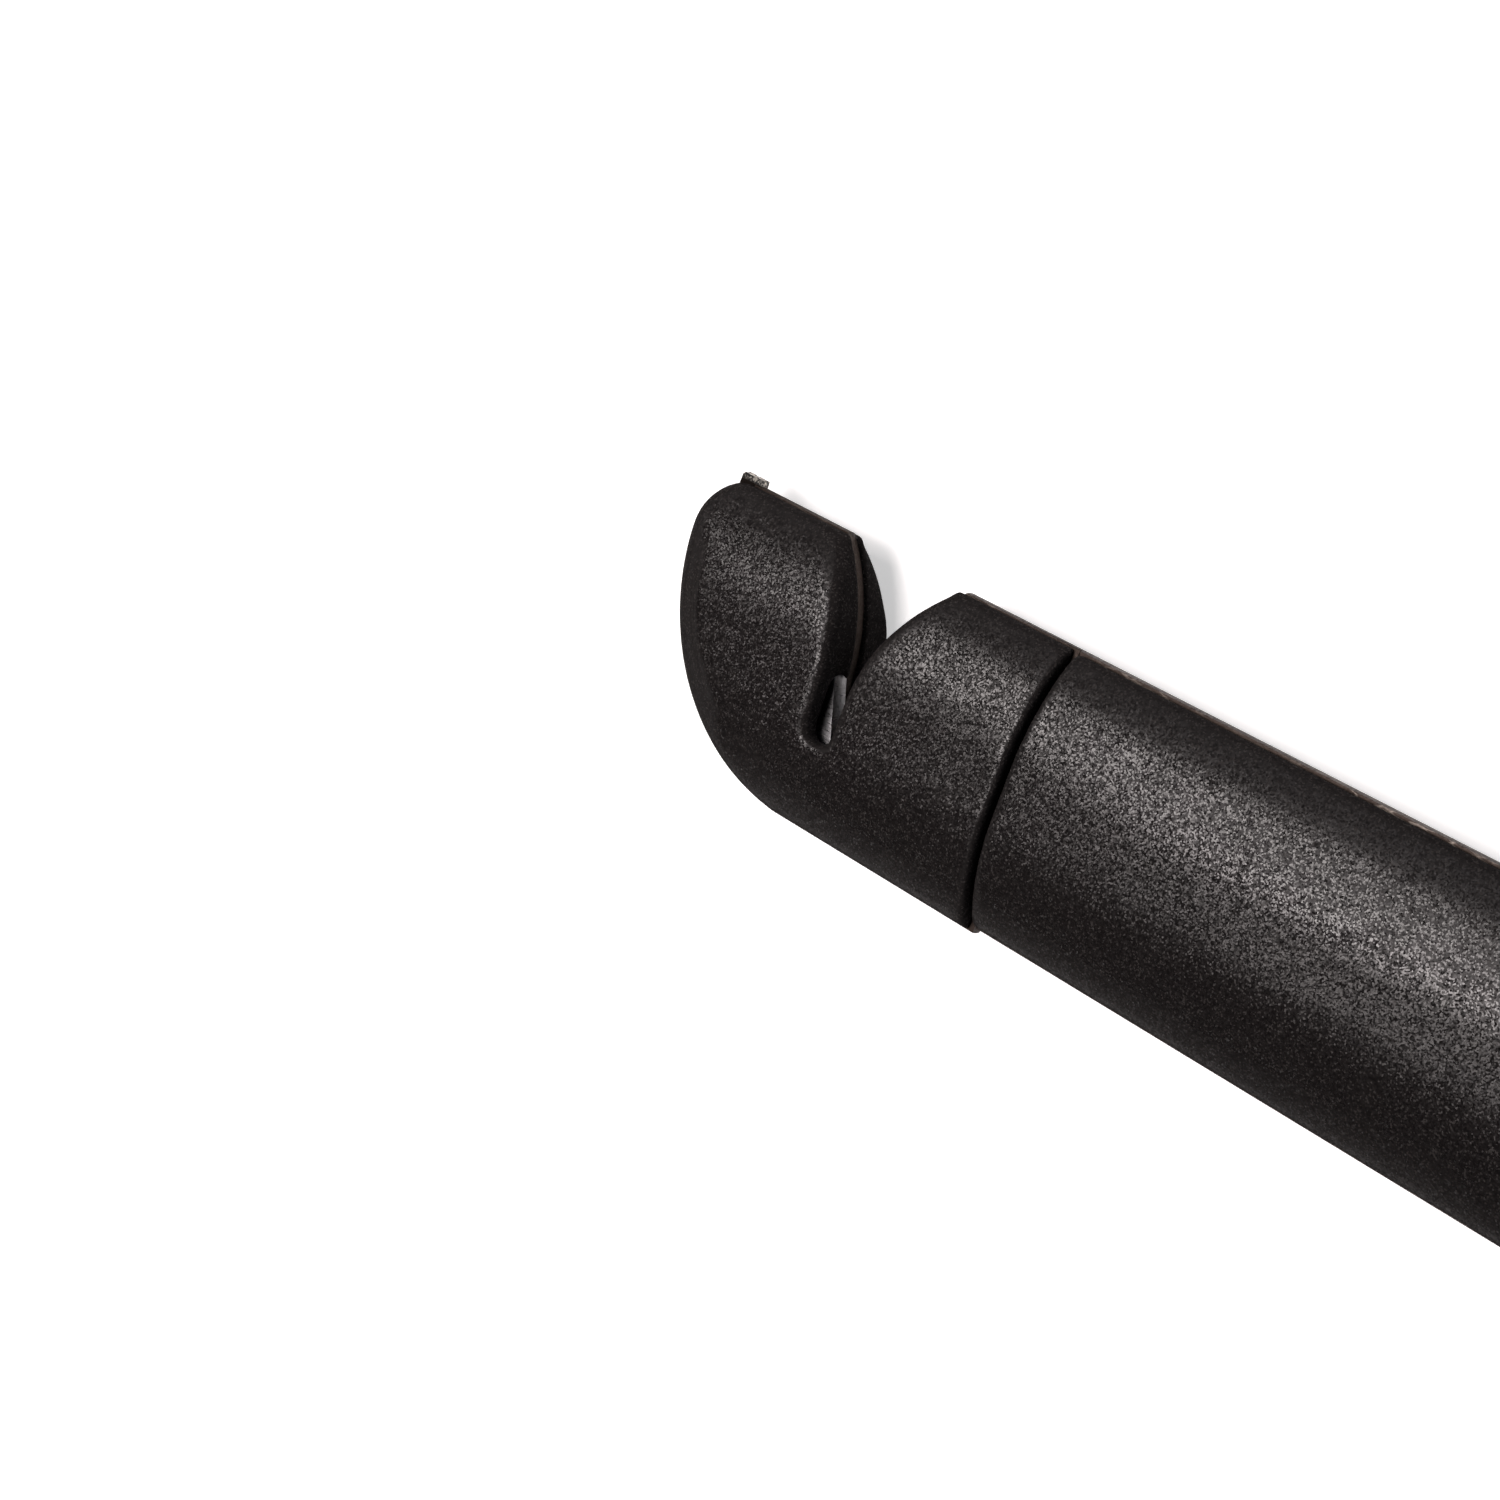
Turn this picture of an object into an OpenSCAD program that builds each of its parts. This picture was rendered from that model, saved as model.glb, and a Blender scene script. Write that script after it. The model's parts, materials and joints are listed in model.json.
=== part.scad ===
// Hand-held notch sharpener: a flat oval grip and a plug-in head.
// The head's funnel notch guides a blade down onto two crossed sharpening steels.
// Inside the modules X runs from the tip to the butt with the seam at 0, the notch
// opens towards +Y, and Z is 0 in the middle of the thickness. seat() then lays
// the tool on its back with the origin under the middle of its box.

/* [Head] */
// Length of the head from its seam face to the tip
head_length = 50.9; // [49:0.1:60]
// Width of the head across its two edges
head_width = 30.8; // [29:0.1:34]
// Radius of the tip's corner on the notch side, seen from the front
tip_corner_radius = 6.1; // [5.5:0.1:9]
// Depth of the rounded edge around the tip
tip_edge_depth = 5; // [4:0.1:6]
// How much larger the edge radius is around the tip than along the sides
tip_fullness = 0.5; // [0.3:0.1:0.8]
// Gap between the head's shells and the grip's shells
seam_gap = 0.7; // [0.5:0.1:1.5]

/* [Grip] */
// Length of the grip from the seam to the butt
grip_length = 120; // [105:1:150]
// Width of the grip across its two edges
grip_width = 30.2; // [28:0.1:34]

/* [Section] */
// Thickness of the head and the grip
thickness = 10.8; // [10.4:0.1:12]
// Width of the flat land along the middle of each broad side
land_width = 5; // [3:0.5:7]
// Radius along the two long edges
edge_radius = 2.7; // [2.2:0.1:3.2]
// Wall of the moulded shells
wall = 1.8; // [1.4:0.1:2.2]
// Thickness of the middle plates that show as a strip along the edges
core_thickness = 1.2; // [1:0.1:1.6]

/* [Notch] */
// Distance from the head's seam face to the middle of the notch
notch_from_seam = 22.8; // [21:0.1:25]
// Depth of the notch below the edge of the head
notch_depth = 20.6; // [19:0.1:22]
// Width of the narrow slot at the bottom of the notch
slot_width = 3.4; // [3:0.1:4]
// Height of the narrow slot before the notch flares
slot_height = 4.7; // [4:0.1:6]
// Radius of the flare on both sides of the notch
flare_radius = 23.4; // [20:0.1:28]
// How far the plate stands back from the shells around the notch
frame_recess = 0.4; // [0.2:0.1:0.8]

/* [Steels] */
// Thickness of one sharpening steel
steel_thickness = 2; // [1.6:0.1:2.2]
// Width of one sharpening steel
steel_width = 5; // [4.5:0.1:5.5]
// Length of one sharpening steel
steel_length = 14; // [12:0.5:15]
// Angle between a steel's working edge and the middle of the notch
steel_angle = 20; // [15:1:22]
// Height above the bottom of the notch where the two working edges cross
crossing_height = 0.9; // [0.5:0.1:1.5]
// How far each steel runs past the crossing
steel_overrun = 1; // [0.5:0.1:1.5]
// Diameter of the pins that hold the steels
pin_diameter = 2; // [1.5:0.1:2.4]
// Distance of the first pin from the lower end of a steel
pin_first = 4; // [3.5:0.1:5]
// Distance between the two pins of a steel
pin_spacing = 6.5; // [5:0.1:7]

/* [Plug] */
// Length of the tongue that plugs into the grip
tongue_length = 24; // [20:0.5:28]
// Width of the tongue
tongue_width = 20; // [16:0.5:20]
// Clearance between the tongue and the grip, on each face
tongue_clearance = 0.15; // [0.1:0.05:0.3]
// Length of the solid collar at the mouth of the grip
collar_length = 8; // [6:0.5:9]
// Thickness of the leaf spring that presses on the tongue
spring_thickness = 0.4; // [0.3:0.05:0.6]
// Width of the leaf spring
spring_width = 4.6; // [3:0.1:5]
// Length of the leaf spring
spring_length = 12; // [9:0.5:13]
// Distance of the leaf spring from the collar
spring_from_collar = 1; // [0.5:0.1:2]
// Width of the opening that saves weight in the grip's plate
window_width = 12.8; // [10:0.2:13]

/* [Screws] */
// Diameter of the screws' shanks
screw_diameter = 2.2; // [2:0.1:2.6]
// Diameter of the screws' heads
screw_head_diameter = 4.2; // [3.6:0.1:4.6]
// Height of the screws' heads
screw_head_height = 1.2; // [0.9:0.1:1.4]
// Length of the screws' shanks
screw_length = 5.2; // [4.8:0.1:5.6]
// Distance of the screws from the long edges
screw_edge = 7; // [6.5:0.1:8]
// Distance of the head's rear screws from its seam face
screw_from_seam = 7.6; // [6:0.1:8.5]
// Distance of the tip's screw from the centre of its corner, along the head
tip_screw_along = 2; // [1.5:0.1:3]
// Distance of the tip's screw from the centre of its corner, across the head
tip_screw_across = 1.5; // [1:0.1:2.5]
// Distance of the grip's first screws from the end of the tongue
grip_screw_from_tongue = 9; // [8:0.5:12]
// Distance of the grip's last screws from the hanging eye
grip_screw_from_eye = 20; // [18:0.5:26]
// Wall of the posts around the screws' heads
post_wall = 1.2; // [1:0.1:1.5]
// Floor under the screws' heads
screw_floor = 1; // [0.8:0.1:1.2]
// Length of the cross recess in the screws' heads
cross_length = 2.6; // [2:0.1:3]
// Width of the cross recess
cross_width = 0.6; // [0.5:0.1:0.8]
// Depth of the cross recess
cross_depth = 0.7; // [0.5:0.1:0.8]

/* [Hanging eye] */
// Bore of the hanging eye
eye_bore = 6; // [4:0.1:7]
// Wall of the hanging eye's tube
eye_wall = 1; // [0.6:0.1:1.4]
// How far the hanging eye's flanges stand out from its tube
eye_flange = 1.5; // [1:0.1:2]
// Thickness of the hanging eye's flanges
eye_flange_thickness = 0.6; // [0.4:0.1:0.8]

/* [Stub] */
// Length of the stub on the edge of the plate, near the tip
stub_length = 3.1; // [2:0.1:5]
// Height of the stub above the edge
stub_height = 0.9; // [0.5:0.1:1.5]
// Chamfer on the stub's outer corner
stub_chamfer = 0.3; // [0.2:0.1:0.8]
// Thickness of the stub
stub_thickness = 1.1; // [0.6:0.1:2]
// Distance of the stub from the far end of the tip
stub_from_tip = 3.5; // [2.5:0.1:8]

/* [Hidden] */
$fn = 64;
fit = 0.05;
steel_clearance = 0.15;
frame_gap = 0.1;
past = 1;
half_thickness = thickness / 2;
half_core = core_thickness / 2;
half_head = head_width / 2;
half_grip = grip_width / 2;
grip_y = half_head - half_grip;
seam_x = -seam_gap;
tip_x = seam_x - head_length;
belly_radius = head_width - tip_corner_radius;
belly_x = tip_x + belly_radius;
corner_x = tip_x + tip_corner_radius;
corner_y = half_head - tip_corner_radius;
butt_x = grip_length - half_grip;
notch_x = seam_x - notch_from_seam;
notch_y = half_head - notch_depth;
flare_y = notch_y + slot_height;
crossing_y = notch_y + crossing_height;
boss_radius = screw_head_diameter / 2 + post_wall;
screw_seat = half_core + screw_floor;
screw_tip = screw_length - screw_seat;
inner_edge = max(edge_radius - wall, 0.6);
ceiling = half_thickness - wall;
tongue_half = half_core - tongue_clearance;
eye_radius = eye_bore / 2 + eye_wall;
rear_screw_x = seam_x - screw_from_seam;
belly_screw_angle = 246;
belly_screw_way = [cos(belly_screw_angle), sin(belly_screw_angle)];
head_screw_places = [
    [rear_screw_x, half_head - screw_edge],
    [rear_screw_x, screw_edge - half_head],
    [corner_x + tip_screw_along, corner_y - tip_screw_across],
    [belly_x, corner_y] + (belly_radius - screw_edge) * belly_screw_way
];
grip_screw_xs = [tongue_length + grip_screw_from_tongue, butt_x - grip_screw_from_eye];
grip_screw_y = half_grip - screw_edge;
grip_screw_places = [for (x = grip_screw_xs, side = [-1, 1]) [x, grip_y + side * grip_screw_y]];

black = "#1b1b1d";
frame_grey = "#3a3530";
steel_grey = "#8d8f92";
bright_steel = "#b9bbbe";

// Lays the tool on its back, with the origin under the middle of its box
module seat() {
    middle_x = (grip_length + tip_x) / 2;
    translate([-middle_x, -stub_height / 2, half_thickness]) children();
}

// Moves a flat shape in the YZ plane along X
module along_x(from, to) {
    translate([from, 0, 0]) rotate([90, 0, 90]) linear_extrude(to - from) children();
}

// Flat oval section: two lands, four large arcs and two small edge arcs, all tangent
module oval(half_width, half_height, radius) {
    land = land_width / 2;
    reach = half_width - land - radius;
    bend = (reach * reach + half_height * half_height - radius * radius) / (2 * (half_height - radius));
    tangent = land + bend * reach / (bend - radius);
    square([land_width, 2 * half_height], center = true);
    for (side = [-1, 1]) scale([side, 1]) {
        translate([half_width - radius, 0]) circle(radius);
        intersection() {
            translate([land, half_height - bend]) circle(bend, $fn = 128);
            translate([land, bend - half_height]) circle(bend, $fn = 128);
            translate([land, -half_height]) square([tangent - land, 2 * half_height]);
        }
    }
}

// The oval's right half, moved so that its edge lies at a given radius
module oval_half(half_width, half_height, radius, at) {
    intersection() {
        translate([at - half_width, 0]) oval(half_width, half_height, radius);
        translate([max(at - half_width, 0), -half_height]) square([half_width + past, 2 * half_height]);
    }
}

// A quarter of a disc whose edge is rounded like one end of an oval
module rounded_quarter(radius, nose, half_height, edge) {
    rotate_extrude(angle = 90, $fn = 128) {
        oval_half(nose, half_height, edge, radius);
        if (radius > nose)
            translate([0, -half_height]) square([radius - nose, 2 * half_height]);
    }
}

// Whole form of the head, or its hollow when an inset is given
module head_form(inset, rear) {
    w = half_head - inset;
    h = half_thickness - inset;
    r = inset > 0 ? inner_edge : edge_radius;
    nose = land_width / 2 + tip_edge_depth - inset;
    full = r + tip_fullness;
    along_x(belly_x, rear) oval(w, h, r);
    intersection() {
        along_x(tip_x - past, belly_x) oval(w, h, r);
        union() {
            translate([belly_x, corner_y, 0]) rotate(180)
                rounded_quarter(belly_radius - inset, nose, h, full);
            translate([corner_x, corner_y, 0]) rotate(90)
                rounded_quarter(tip_corner_radius - inset, nose, h, full);
            translate([corner_x, corner_y, -h]) cube([belly_x - corner_x, half_head, 2 * h]);
        }
    }
}

// Whole form of the grip, or its hollow when an inset and a start are given
module grip_form(inset, start) {
    w = half_grip - inset;
    h = half_thickness - inset;
    r = inset > 0 ? inner_edge : edge_radius;
    translate([0, grip_y, 0]) {
        along_x(start, butt_x) oval(w, h, r);
        translate([butt_x, 0, 0]) rotate(-90) rotate_extrude(angle = 180, $fn = 128) oval_half(w, h, r, w);
    }
}

// Keeps what lies in front of the plates
module front_half() {
    reach = grip_length + head_length + 2 * past;
    intersection() {
        children();
        translate([tip_x - past, -head_width, half_core]) cube([reach, 2 * head_width, thickness]);
    }
}

// Funnel notch through the whole thickness, grown by a margin all round
module notch(grow) {
    half_slot = slot_width / 2 + grow;
    mouth = slot_width + flare_radius;
    translate([notch_x, 0, -thickness]) linear_extrude(2 * thickness) {
        translate([0, notch_y + slot_width / 2]) circle(half_slot);
        translate([-half_slot, notch_y + slot_width / 2]) square([2 * half_slot, slot_height]);
        difference() {
            translate([-mouth / 2, flare_y - fit]) square([mouth, head_width]);
            for (side = [-1, 1]) translate([side * (slot_width / 2 + flare_radius), flare_y])
                circle(flare_radius - grow, $fn = 128);
            for (side = [-1, 1]) translate([side * (half_slot + mouth / 2), flare_y - 2 * fit])
                square([mouth, 4 * fit], center = true);
        }
    }
}

// One sharpening steel's flat outline, its working edge on the left of the notch's middle
module steel_outline(margin) {
    translate([notch_x, crossing_y]) rotate(steel_angle)
        translate([-steel_width - margin, -steel_overrun - margin])
            square([steel_width + 2 * margin, steel_length + 2 * margin]);
}

// Places children at the two pins of the left steel
module at_pins() {
    translate([notch_x, crossing_y, 0]) rotate(steel_angle)
        for (step = [0, 1])
            translate([-steel_width / 2, pin_first - steel_overrun + step * pin_spacing, 0]) children();
}

// The left steel's bar, lying on the front of the plate
module steel_bar(margin) {
    translate([0, 0, half_core - margin]) linear_extrude(steel_thickness + 2 * margin) steel_outline(margin);
}

// Turns a piece over to the other side of the notch and the other face of the plate
module turned_over() {
    translate([2 * notch_x, 0, 0]) rotate([0, 180, 0]) children();
}

// Posts around the screws, from the plate to the outside
module posts(places) {
    for (p = places) translate([p[0], p[1], 0]) cylinder(h = thickness, r = boss_radius);
}

// Pilot holes that the screws' tips turn into
module pilots(places) {
    for (p = places) translate([p[0], p[1], 0]) cylinder(h = screw_tip + fit, d = screw_diameter + 2 * fit);
}

// Stepped holes that take the screws' heads from outside
module head_holes(places) {
    for (p = places) translate([p[0], p[1], 0]) {
        cylinder(h = thickness, d = screw_diameter + 2 * fit);
        translate([0, 0, screw_seat]) cylinder(h = thickness, d = screw_head_diameter + 4 * fit);
    }
}

// One half of the head, hollow around the posts and walled around the notch.
// The steel's pocket lies on the left of the notch (side 0) or the right (side 1).
module head_shell(side) {
    difference() {
        front_half() head_form(0, seam_x);
        difference() {
            front_half() head_form(wall, seam_x - wall);
            notch(wall);
            posts(head_screw_places);
        }
        notch(0);
        translate([2 * side * notch_x, 0, 0]) mirror([side, 0, 0]) steel_bar(steel_clearance);
        children();
    }
}

// One half of the grip, hollow behind its collar around the posts and the eye
module grip_shell() {
    difference() {
        front_half() grip_form(0, 0);
        difference() {
            front_half() grip_form(wall, collar_length);
            posts(grip_screw_places);
            translate([butt_x, grip_y, 0]) cylinder(h = thickness, r = eye_radius + eye_flange + wall);
        }
        eye_seat();
        children();
    }
}

// Hole and flange recess for the hanging eye
module eye_seat() {
    translate([butt_x, grip_y, -thickness]) cylinder(h = 2 * thickness, r = eye_radius + fit);
    translate([butt_x, grip_y, half_thickness - eye_flange_thickness - fit])
        cylinder(h = thickness, r = eye_radius + eye_flange + fit);
}

module head_shell_front() {
    color(black) seat() head_shell(0) pilots(head_screw_places);
}

module head_shell_back() {
    color(black) seat() mirror([0, 0, 1]) head_shell(1) head_holes(head_screw_places);
}

// Stub on the plate's edge where it was broken off its strip
module edge_stub() {
    top = tip_corner_radius + stub_height;
    translate([tip_x + stub_from_tip, corner_y, -stub_thickness / 2]) linear_extrude(stub_thickness)
        polygon([
            [0, 0], [stub_length, 0], [stub_length, top], [stub_chamfer, top], [0, top - stub_chamfer]
        ]);
}

// Middle plate of the head with its tongue and its stub
module head_frame() {
    color(frame_grey) seat() difference() {
        union() {
            intersection() {
                head_form(0, -frame_gap);
                translate([tip_x - past, -head_width, -half_core])
                    cube([head_length + 2 * past, 2 * head_width, core_thickness]);
            }
            translate([seam_x - past, -tongue_width / 2, -tongue_half])
                cube([tongue_length - seam_x + past, tongue_width, 2 * tongue_half]);
            edge_stub();
        }
        notch(frame_recess);
        for (p = head_screw_places) translate([p[0], p[1], -thickness])
            cylinder(h = 2 * thickness, d = screw_diameter + 2 * fit);
        translate([0, 0, -thickness]) at_pins() cylinder(h = 2 * thickness, d = pin_diameter);
        turned_over() translate([0, 0, -thickness]) at_pins() cylinder(h = 2 * thickness, d = pin_diameter);
    }
}

module steel_with_holes() {
    difference() {
        steel_bar(0);
        at_pins() cylinder(h = thickness, d = pin_diameter);
    }
}

module steel_left() {
    color(steel_grey) seat() steel_with_holes();
}

module steel_right() {
    color(steel_grey) seat() turned_over() steel_with_holes();
}

// Flush pins through each steel and the plate
module pin_pair() {
    translate([0, 0, -half_core]) at_pins()
        cylinder(h = core_thickness + steel_thickness, d = pin_diameter - 2 * fit);
}

module steel_pins() {
    color(bright_steel) seat() {
        pin_pair();
        turned_over() pin_pair();
    }
}

// Pan-head screw with a cross recess, its seat at z = 0 and its tip upwards
module screw() {
    difference() {
        union() {
            cylinder(h = screw_length, d = screw_diameter);
            translate([0, 0, -screw_head_height]) cylinder(h = screw_head_height, d = screw_head_diameter);
        }
        for (turn = [0, 90]) rotate(turn)
            translate([-cross_length / 2, -cross_width / 2, -screw_head_height - past])
                cube([cross_length, cross_width, past + cross_depth]);
    }
}

module screws(places) {
    for (p = places) translate([p[0], p[1], -screw_seat]) screw();
}

module head_screws() {
    color(bright_steel) seat() screws(head_screw_places);
}

module grip_shell_front() {
    color(black) seat() grip_shell() pilots(grip_screw_places);
}

module grip_shell_back() {
    color(black) seat() mirror([0, 0, 1]) grip_shell() head_holes(grip_screw_places);
}

// Middle plate of the grip, slotted at the mouth for the tongue and opened to save weight
module grip_frame() {
    slot_end = tongue_length + 2 * tongue_clearance;
    window_radius = window_width / 2;
    window_start = grip_screw_xs[0] + boss_radius + window_radius;
    window_end = grip_screw_xs[1] - boss_radius - window_radius;
    color(frame_grey) seat() difference() {
        intersection() {
            grip_form(0, 0);
            translate([-past, -head_width, -half_core])
                cube([grip_length + 2 * past, 2 * head_width, core_thickness]);
        }
        translate([-past, -tongue_width / 2 - tongue_clearance, -thickness])
            cube([slot_end + past, tongue_width + 2 * tongue_clearance, 2 * thickness]);
        translate([0, grip_y, -thickness]) linear_extrude(2 * thickness) {
            for (x = [window_start, window_end]) translate([x, 0]) circle(window_radius);
            translate([window_start, -window_radius]) square([window_end - window_start, 2 * window_radius]);
        }
        for (p = grip_screw_places) translate([p[0], p[1], -thickness])
            cylinder(h = 2 * thickness, d = screw_diameter + 2 * fit);
        translate([butt_x, grip_y, -thickness]) cylinder(h = 2 * thickness, r = eye_radius + fit);
    }
}

// Bowed leaf between the front shell's inside and the tongue
module leaf_spring() {
    middle = collar_length + spring_from_collar + spring_length / 2;
    belly = tongue_half + tongue_clearance;
    rise = ceiling - belly - spring_thickness - fit;
    inner_radius = (pow(spring_length / 2, 2) + rise * rise) / (2 * rise);
    color(bright_steel) seat()
        translate([middle, spring_width / 2, belly + spring_thickness + inner_radius])
            rotate([90, 0, 0]) linear_extrude(spring_width) intersection() {
                difference() {
                    circle(inner_radius + spring_thickness, $fn = 128);
                    circle(inner_radius, $fn = 128);
                }
                translate([-spring_length / 2, -2 * inner_radius])
                    square([spring_length, 2 * inner_radius]);
            }
}

module grip_screws() {
    color(bright_steel) seat() screws(grip_screw_places);
}

// Flanged tube through the butt
module hanging_eye() {
    flange_face = half_thickness - eye_flange_thickness;
    color(bright_steel) seat() translate([butt_x, grip_y, 0]) difference() {
        union() {
            cylinder(h = 2 * flange_face + eye_flange_thickness, r = eye_radius, center = true);
            for (side = [0, 1]) mirror([0, 0, side]) translate([0, 0, flange_face])
                cylinder(h = eye_flange_thickness, r = eye_radius + eye_flange);
        }
        cylinder(h = 2 * thickness, d = eye_bore, center = true);
    }
}

head_shell_front();
head_shell_back();
head_frame();
steel_left();
steel_right();
steel_pins();
head_screws();
grip_shell_front();
grip_shell_back();
grip_frame();
leaf_spring();
grip_screws();
hanging_eye();
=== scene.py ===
"""Looks of a flat oval notch sharpener: grained shells, browned plates, ground steels, a white table."""

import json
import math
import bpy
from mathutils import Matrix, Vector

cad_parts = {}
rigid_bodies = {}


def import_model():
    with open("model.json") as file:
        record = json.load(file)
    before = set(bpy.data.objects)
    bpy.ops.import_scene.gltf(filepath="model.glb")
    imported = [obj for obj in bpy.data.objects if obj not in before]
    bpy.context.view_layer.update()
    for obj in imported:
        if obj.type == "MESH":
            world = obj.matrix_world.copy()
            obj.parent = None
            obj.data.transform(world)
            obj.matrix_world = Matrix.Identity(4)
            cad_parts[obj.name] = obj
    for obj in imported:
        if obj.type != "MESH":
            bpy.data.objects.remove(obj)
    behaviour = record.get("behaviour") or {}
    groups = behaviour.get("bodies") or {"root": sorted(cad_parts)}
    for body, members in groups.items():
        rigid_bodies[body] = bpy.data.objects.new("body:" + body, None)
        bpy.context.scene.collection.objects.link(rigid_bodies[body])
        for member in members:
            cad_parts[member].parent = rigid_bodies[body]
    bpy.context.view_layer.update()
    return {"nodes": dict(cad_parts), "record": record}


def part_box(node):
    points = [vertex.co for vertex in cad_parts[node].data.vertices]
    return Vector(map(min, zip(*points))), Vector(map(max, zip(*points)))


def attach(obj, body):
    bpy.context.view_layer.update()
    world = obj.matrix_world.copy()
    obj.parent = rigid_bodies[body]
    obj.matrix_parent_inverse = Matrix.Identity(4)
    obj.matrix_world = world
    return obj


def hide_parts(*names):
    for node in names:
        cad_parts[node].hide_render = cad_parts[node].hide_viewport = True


bl_info = {
    "name": "Notch Sharpener",
    "version": (1, 0, 0),
    "blender": (4, 5, 0),
    "location": "View3D > Sidebar > Sharpener",
    "description": "Dresses the packed solids of a hand-held notch sharpener and sets up its stage",
    "category": "Object",
}

import bpy
from bpy.props import FloatProperty, FloatVectorProperty, IntProperty, PointerProperty
from bpy.types import Operator, Panel, PropertyGroup
from mathutils import Matrix, Vector

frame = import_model()

MERGE_DISTANCE = 1e-6
SMOOTH_FACTOR = 0.5

# Planes of the tool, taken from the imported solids; all lengths are in metres, in their frame
MIDDLE_Z = (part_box("head_shell_back")[0].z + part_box("head_shell_front")[1].z) / 2.0
AXIS_Y = (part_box("grip_shell_front")[0].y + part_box("grip_shell_front")[1].y) / 2.0
SEAM_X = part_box("head_shell_front")[1].x

# The notch: a round-bottomed slot that flares out in two arcs
NOTCH_TO_SEAM = 0.0228
NOTCH_X = SEAM_X - NOTCH_TO_SEAM
SLOT_RADIUS = 0.0017
SLOT_BELOW_AXIS = 0.0038
SLOT_Y = AXIS_Y - SLOT_BELOW_AXIS
FLARE_BELOW_AXIS = 0.0008
FLARE_Y = AXIS_Y - FLARE_BELOW_AXIS
FLARE_RADIUS = 0.0234

# Where the head's shells are rounded: off their parting plane, and on the tip beyond the notch
ROUNDED_FROM = 0.0012
TIP_X = NOTCH_X - 2.0 * SLOT_RADIUS

# The torn stub on the head's plate, and how many tears deep it is sunk to stay inside its solid
STUB_TOP_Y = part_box("head_frame")[1].y
STUB_HEIGHT = 0.0007
STUB_FADE = 0.0002
STUB_CUTS = 5
STUB_SEED = 4
STUB_SINK = 2.0
STUB_SHARP = math.radians(25.0)

# The steels: angles up to which faces are flat, from which corners are broken, and shown sharp
STEEL_FLAT = math.radians(1.0)
STEEL_CORNER = math.radians(50.0)
STEEL_SHARP = math.radians(30.0)
STEEL_BEVEL_STEPS = 2

# The screws: their turned outline (radius, height above the seat) and the bar of the cross recess
TURNED_SHARP = math.radians(40.0)
SCREW_SEGMENTS = 40
SCREW_HEAD = 0.0012
SCREW_OUTLINE = (
    (0.0003, 0.0052),
    (0.0008, 0.0047),
    (0.0011, 0.0042),
    (0.0011, 0.0),
    (0.0021, 0.0),
    (0.0021, -0.0005),
    (0.002, -0.00078),
    (0.00175, -0.00099),
    (0.0013, -0.00113),
    (0.0007, -SCREW_HEAD),
)
CROSS_Z = -0.0009
CROSS_SIZE = (0.0026, 0.0006, 0.0008)
CROSS_TAPER = (0.7, 0.9, 1.0)

# Half of the eyelet's outline (radius, height above the middle), from its bore to its tube
EYE_SEGMENTS = 72
EYE_OUTLINE = (
    (0.003, 0.0045),
    (0.00312, 0.00492),
    (0.0034, 0.00522),
    (0.00385, 0.00538),
    (0.0047, 0.0054),
    (0.0052, 0.00534),
    (0.00545, 0.00517),
    (0.0055, 0.00498),
    (0.00535, 0.00482),
    (0.00405, 0.0048),
    (0.004, 0.0047),
)

# Textures: densities per metre, and tones and shares from 0 to 1
WHOLE = (0.0, 1.0)
REVERSED = (1.0, 0.0)
CLOUD_DENSITY = 70.0
CLOUD_DETAIL = 3.0
GRIT_DETAIL = 2.0
DRAWN_DETAIL = 3.0
MIDDLE_TONE = 0.5
PALE_TONES = (0.84, 0.92)
BUMP_DEPTH = 0.00003

# Grained shells
ENDS_SHARE = 0.8
EDGE_TILTS = (0.62, 0.93)
SHELL_CLOUD = (0.3, 0.7)
SHELL_GLOSS = (0.23, 0.29)
SHELL_SPECULAR = 0.14
EDGE_DULLNESS = 0.72
GLINT_TONES = (0.6, 1.0)
EDGE_GLINTS = 0.03
GLINT_GLOSS = 0.22
GLINT_IOR = 1.62
SHELL_RUBBING = {"Stretch": (90.0, 900.0, 900.0), "Width": 0.012}
SHELL_RUBBING_SHARE = 0.05

# Browned plates
PLATE_DENSITY = 5000.0
PLATE_RUBBING = {"Stretch": (300.0, 1400.0, 4200.0), "Width": 0.05}
PLATE_CLOUD = (0.45, 0.65)
PLATE_GLOSS = (0.38, 0.6)
PLATE_BUMP = 0.3
# Grain tones over which the torn stub's facets go from painted shade to painted glint
TORN_GLINT_TONES = (0.35, 1.0)

# Ground steels
GRINDING = {"Stretch": (700.0, 9000.0, 700.0), "Width": 0.2}
GROUND_DARK = 0.7
GROUND_GLOSS = (0.24, 0.42)
GROUND_BUMP = 0.25

# Zinc plating
ZINC_DENSITY = 1500.0
ZINC_DULL = 0.75
ZINC_GLOSS = (0.28, 0.45)
ZINC_BUMP = 0.12

# The table: its raised rim, its white and the lift of its white with the distance from the tool
WHITE = (1.0, 1.0, 1.0, 1.0)
TABLE_SIZE = 6.0
TABLE_RIM = 0.4
TABLE_BELOW = 0.0002
TABLE_WHITE = (0.92, 0.92, 0.92, 1.0)
TABLE_GLOSS = 0.9
LIFT_REACH = (0.15, 0.7)
LIFT = (0.5, 0.97)
MIRRORED_LIFT = 0.12

# The lights: place, point that they face, width and height, and whose colour they have
LIGHTS = {
    "key": ((-0.3, 0.155, 0.5), (-0.3, 0.155, 0.0), (0.3, 0.26), "key_colour"),
    "low": ((-0.175, 0.01, 0.5), (-0.175, 0.01, 0.0), (0.24, 0.25), "key_colour"),
    "fill": ((-0.12, 0.75, 0.5), (0.15, 0.0, 0.0), (0.7, 0.5), "fill_colour"),
    "side": ((0.65, 0.0, 0.3), (0.0, 0.0, 0.0), (1.4, 0.25), "fill_colour"),
}
SENSOR_WIDTH = 36.0
CLIP_START = 0.01


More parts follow.
